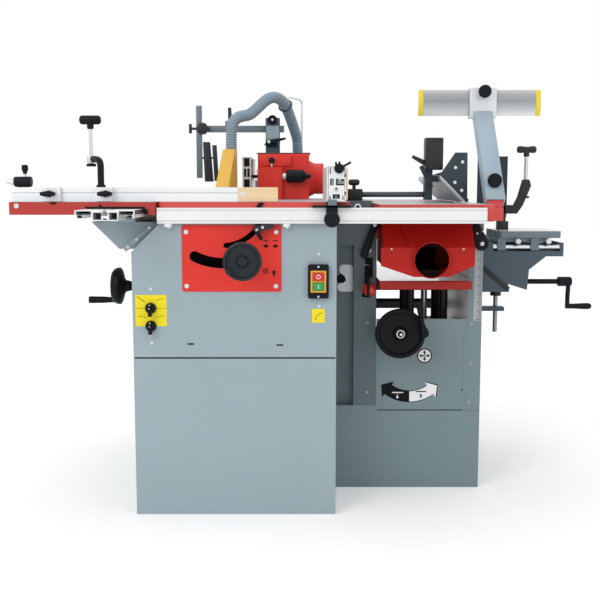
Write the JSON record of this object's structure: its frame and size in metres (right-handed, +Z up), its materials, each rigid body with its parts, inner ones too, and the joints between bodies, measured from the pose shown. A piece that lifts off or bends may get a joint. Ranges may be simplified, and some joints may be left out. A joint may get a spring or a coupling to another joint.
{
  "type": "combination woodworking machine",
  "caption": "Floor-standing combination woodworking machine: tilting sliding-table saw, spindle moulder, planer with thicknesser under it, and slot mortiser.",
  "frame": {"origin": "on the floor, under the middle of the two cabinets", "axes": "+Z up, +X to the operator's right along the front, +Y away from the operator"},
  "size_m": [1.685, 1.09, 1.192],
  "materials": {
    "cabinet_paint": "smooth semi-gloss enamel",
    "red_paint": "semi-gloss enamel",
    "machined_iron": "ground top, painted sides",
    "dark_paint": "hammered dark grey",
    "extruded_aluminium": "satin anodised",
    "bright_steel": "turned and ground",
    "black_plastic": "moulded, fine grain",
    "yellow_plastic": "moulded",
    "red_plastic": "moulded",
    "green_plastic": "moulded",
    "beech": "planed, unvarnished",
    "grey_hose": "ribbed, flexible",
    "black_rubber": "ribbed belt",
    "motor_paint": "semi-gloss"
  },
  "bodies": {
    "frame": {"saw_cabinet": "cabinet_paint", "front_panels": "cabinet_paint", "tilt_plate": "red_paint", "switch_plate": "black_plastic", "saw_table": "machined_iron", "front_rail": "extruded_aluminium", "slide_console": "cabinet_paint", "spindle_hood": "red_paint", "spindle_fences": "extruded_aluminium", "hood_fittings": "black_plastic", "dust_hose": "grey_hose", "planer_plinth": "cabinet_paint", "drive_column": "cabinet_paint", "right_housing": "cabinet_paint", "outfeed_table": "machined_iron", "planer_motor": "motor_paint", "planer_belt": "black_rubber", "planer_hood": "red_paint", "lift_base": "machined_iron", "fence_rod_block": "dark_paint", "mortiser_bracket": "dark_paint"},
    "sliding_table": {"carriage": "extruded_aluminium", "carriage_table": "red_paint"},
    "crosscut": {"crosscut_fence": "extruded_aluminium", "fence_board": "beech", "fence_fittings": "black_plastic"},
    "clamp": {"clamp_screw": "black_plastic"},
    "saw_unit": {"saw_trunnion": "dark_paint", "splitter": "bright_steel", "saw_guard": "yellow_plastic"},
    "arbor": {"arbor_slide": "dark_paint"},
    "blade": {"saw_blade": "bright_steel"},
    "rise_wheel": {"rise_handwheel": "black_plastic"},
    "spindle_unit": {"spindle_quill": "bright_steel"},
    "spindle": {"spindle_shaft": "bright_steel"},
    "spindle_wheel": {"spindle_handwheel": "black_plastic"},
    "rip": {"rip_fence": "extruded_aluminium", "rip_carrier": "black_plastic"},
    "hold_down": {"hold_down_arm": "black_plastic"},
    "infeed": {"infeed_table": "machined_iron"},
    "guard_swing": {"guard_arm": "dark_paint"},
    "bridge": {"bridge_guard": "extruded_aluminium"},
    "infeed_lever": {"table_lever": "black_plastic"},
    "lock_lever": {"table_lock_lever": "black_plastic"},
    "cutter": {"cutter_block": "bright_steel"},
    "roller_front": {"feed_roller_front": "bright_steel"},
    "roller_back": {"feed_roller_back": "bright_steel"},
    "bed": {"thicknesser_bed": "machined_iron"},
    "bed_wheel": {"bed_handwheel": "black_plastic"},
    "feed_selector": {"feed_lever": "black_plastic"},
    "fence_slide": {"planer_fence": "dark_paint"},
    "mortiser_lift": {"mortiser_knee": "dark_paint"},
    "crank": {"mortiser_crank": "bright_steel"},
    "saddle": {"mortiser_saddle": "dark_paint"},
    "mortiser_top": {"mortiser_table": "dark_paint", "mortiser_clamp": "dark_paint"},
    "start": {"start_button": "green_plastic"},
    "stop": {"stop_button": "red_plastic"},
    "selector_upper": {"selector_knob_upper": "black_plastic"},
    "selector_lower": {"selector_knob_lower": "black_plastic"}
  },
  "joints": [
    {"name": "carriage_slide", "type": "slide", "parent": "frame", "child": "sliding_table", "axis": [0, 1, 0], "range_m": [-0.45, 0.09]},
    {"name": "crosscut_swing", "type": "hinge", "parent": "sliding_table", "child": "crosscut", "pos_m": [-0.5, -0.3925, 0.85], "axis": [0, 0, 1], "range_deg": [-45, 0]},
    {"name": "clamp_travel", "type": "slide", "parent": "crosscut", "child": "clamp", "axis": [0, 0, 1], "range_m": [-0.07, 0]},
    {"name": "saw_tilt", "type": "hinge", "parent": "frame", "child": "saw_unit", "pos_m": [-0.247, -0.045, 0.85], "axis": [0, 1, 0], "range_deg": [0, 45], "deforming": ["dust_hose"]},
    {"name": "saw_rise", "type": "slide", "parent": "saw_unit", "child": "arbor", "axis": [0, 0, 1], "range_m": [-0.05, 0.01]},
    {"name": "blade_spin", "type": "hinge", "parent": "arbor", "child": "blade", "pos_m": [-0.247, -0.045, 0.785], "axis": [1, 0, 0], "continuous": true},
    {"name": "rise_wheel_turn", "type": "hinge", "parent": "saw_unit", "child": "rise_wheel", "pos_m": [-0.1893, -0.478, 0.6997], "axis": [0, 1, 0], "range_deg": [-2160, 360]},
    {"name": "spindle_rise", "type": "slide", "parent": "frame", "child": "spindle_unit", "axis": [0, 0, 1], "range_m": [-0.04, 0.02]},
    {"name": "spindle_spin", "type": "hinge", "parent": "spindle_unit", "child": "spindle", "pos_m": [-0.165, 0.235, 0.85], "axis": [0, 0, 1], "continuous": true},
    {"name": "spindle_wheel_turn", "type": "hinge", "parent": "frame", "child": "spindle_wheel", "pos_m": [-0.508, -0.34, 0.622], "axis": [1, 0, 0], "range_deg": [-1440, 720]},
    {"name": "rip_slide", "type": "slide", "parent": "frame", "child": "rip", "axis": [1, 0, 0], "range_m": [-0.12, 0.005]},
    {"name": "hold_down_slide", "type": "slide", "parent": "frame", "child": "hold_down", "axis": [1, 0, 0], "range_m": [-0.04, 0.04]},
    {"name": "infeed_height", "type": "slide", "parent": "frame", "child": "infeed", "axis": [0, 0, 1], "range_m": [0, 0.002]},
    {"name": "guard_tilt", "type": "hinge", "parent": "infeed", "child": "guard_swing", "pos_m": [0.502, -0.238, 0.856], "axis": [1, 0, 0], "range_deg": [-20, 0]},
    {"name": "bridge_slide", "type": "slide", "parent": "guard_swing", "child": "bridge", "axis": [1, 0, 0], "range_m": [-0.1, 0.1]},
    {"name": "table_lever_turn", "type": "hinge", "parent": "frame", "child": "infeed_lever", "pos_m": [0.172, -0.19, 0.782], "axis": [0, 1, 0], "range_deg": [0, 40]},
    {"name": "lock_lever_turn", "type": "hinge", "parent": "frame", "child": "lock_lever", "pos_m": [0.478, -0.19, 0.728], "axis": [0, 1, 0], "range_deg": [0, 40]},
    {"name": "cutter_spin", "type": "hinge", "parent": "frame", "child": "cutter", "pos_m": [0.313, 0.06, 0.81], "axis": [1, 0, 0], "continuous": true},
    {"name": "roller_front_spin", "type": "hinge", "parent": "frame", "child": "roller_front", "pos_m": [0.313, -0.015, 0.78], "axis": [1, 0, 0], "continuous": true},
    {"name": "roller_back_spin", "type": "hinge", "parent": "frame", "child": "roller_back", "pos_m": [0.313, 0.135, 0.78], "axis": [1, 0, 0], "continuous": true},
    {"name": "bed_height", "type": "slide", "parent": "frame", "child": "bed", "axis": [0, 0, 1], "range_m": [-0.09, 0.02]},
    {"name": "bed_wheel_turn", "type": "hinge", "parent": "frame", "child": "bed_wheel", "pos_m": [0.241, -0.252, 0.478], "axis": [0, 1, 0], "range_deg": [-3240, 720]},
    {"name": "feed_selector_turn", "type": "hinge", "parent": "frame", "child": "feed_selector", "pos_m": [0.152, -0.186, 0.646], "axis": [0, 1, 0], "range_deg": [0, 25]},
    {"name": "fence_travel", "type": "slide", "parent": "frame", "child": "fence_slide", "axis": [1, 0, 0], "range_m": [-0.02, 0.02]},
    {"name": "mortiser_height", "type": "slide", "parent": "frame", "child": "mortiser_lift", "axis": [0, 0, 1], "range_m": [-0.03, 0.02]},
    {"name": "crank_turn", "type": "hinge", "parent": "mortiser_lift", "child": "crank", "pos_m": [0.792, 0.04, 0.595], "axis": [1, 0, 0], "range_deg": [-1080, 720]},
    {"name": "saddle_slide", "type": "slide", "parent": "mortiser_lift", "child": "saddle", "axis": [1, 0, 0], "range_m": [-0.012, 0.06]},
    {"name": "mortiser_feed", "type": "slide", "parent": "saddle", "child": "mortiser_top", "axis": [0, 1, 0], "range_m": [-0.06, 0.06]},
    {"name": "start_press", "type": "slide", "parent": "frame", "child": "start", "axis": [0, 1, 0], "range_m": [0, 0.003], "stiffness_N_per_m": 500},
    {"name": "stop_press", "type": "slide", "parent": "frame", "child": "stop", "axis": [0, 1, 0], "range_m": [0, 0.003], "stiffness_N_per_m": 500},
    {"name": "selector_upper_turn", "type": "hinge", "parent": "frame", "child": "selector_upper", "pos_m": [-0.439, -0.41, 0.569], "axis": [0, 1, 0], "range_deg": [-45, 45]},
    {"name": "selector_lower_turn", "type": "hinge", "parent": "frame", "child": "selector_lower", "pos_m": [-0.439, -0.41, 0.521], "axis": [0, 1, 0], "range_deg": [-45, 45]}
  ],
  "couplings": [
    {"joint": "rise_wheel_turn", "follows": "saw_rise", "rad_per_m": 628.32},
    {"joint": "spindle_wheel_turn", "follows": "spindle_rise", "rad_per_m": 628.32},
    {"joint": "bed_wheel_turn", "follows": "bed_height", "rad_per_m": 628.32},
    {"joint": "crank_turn", "follows": "mortiser_height", "rad_per_m": 628.32},
    {"joint": "table_lever_turn", "follows": "infeed_height", "rad_per_m": 349},
    {"joint": "roller_front_spin", "follows": "cutter_spin", "ratio": -0.25},
    {"joint": "roller_back_spin", "follows": "cutter_spin", "ratio": -0.25}
  ]
}
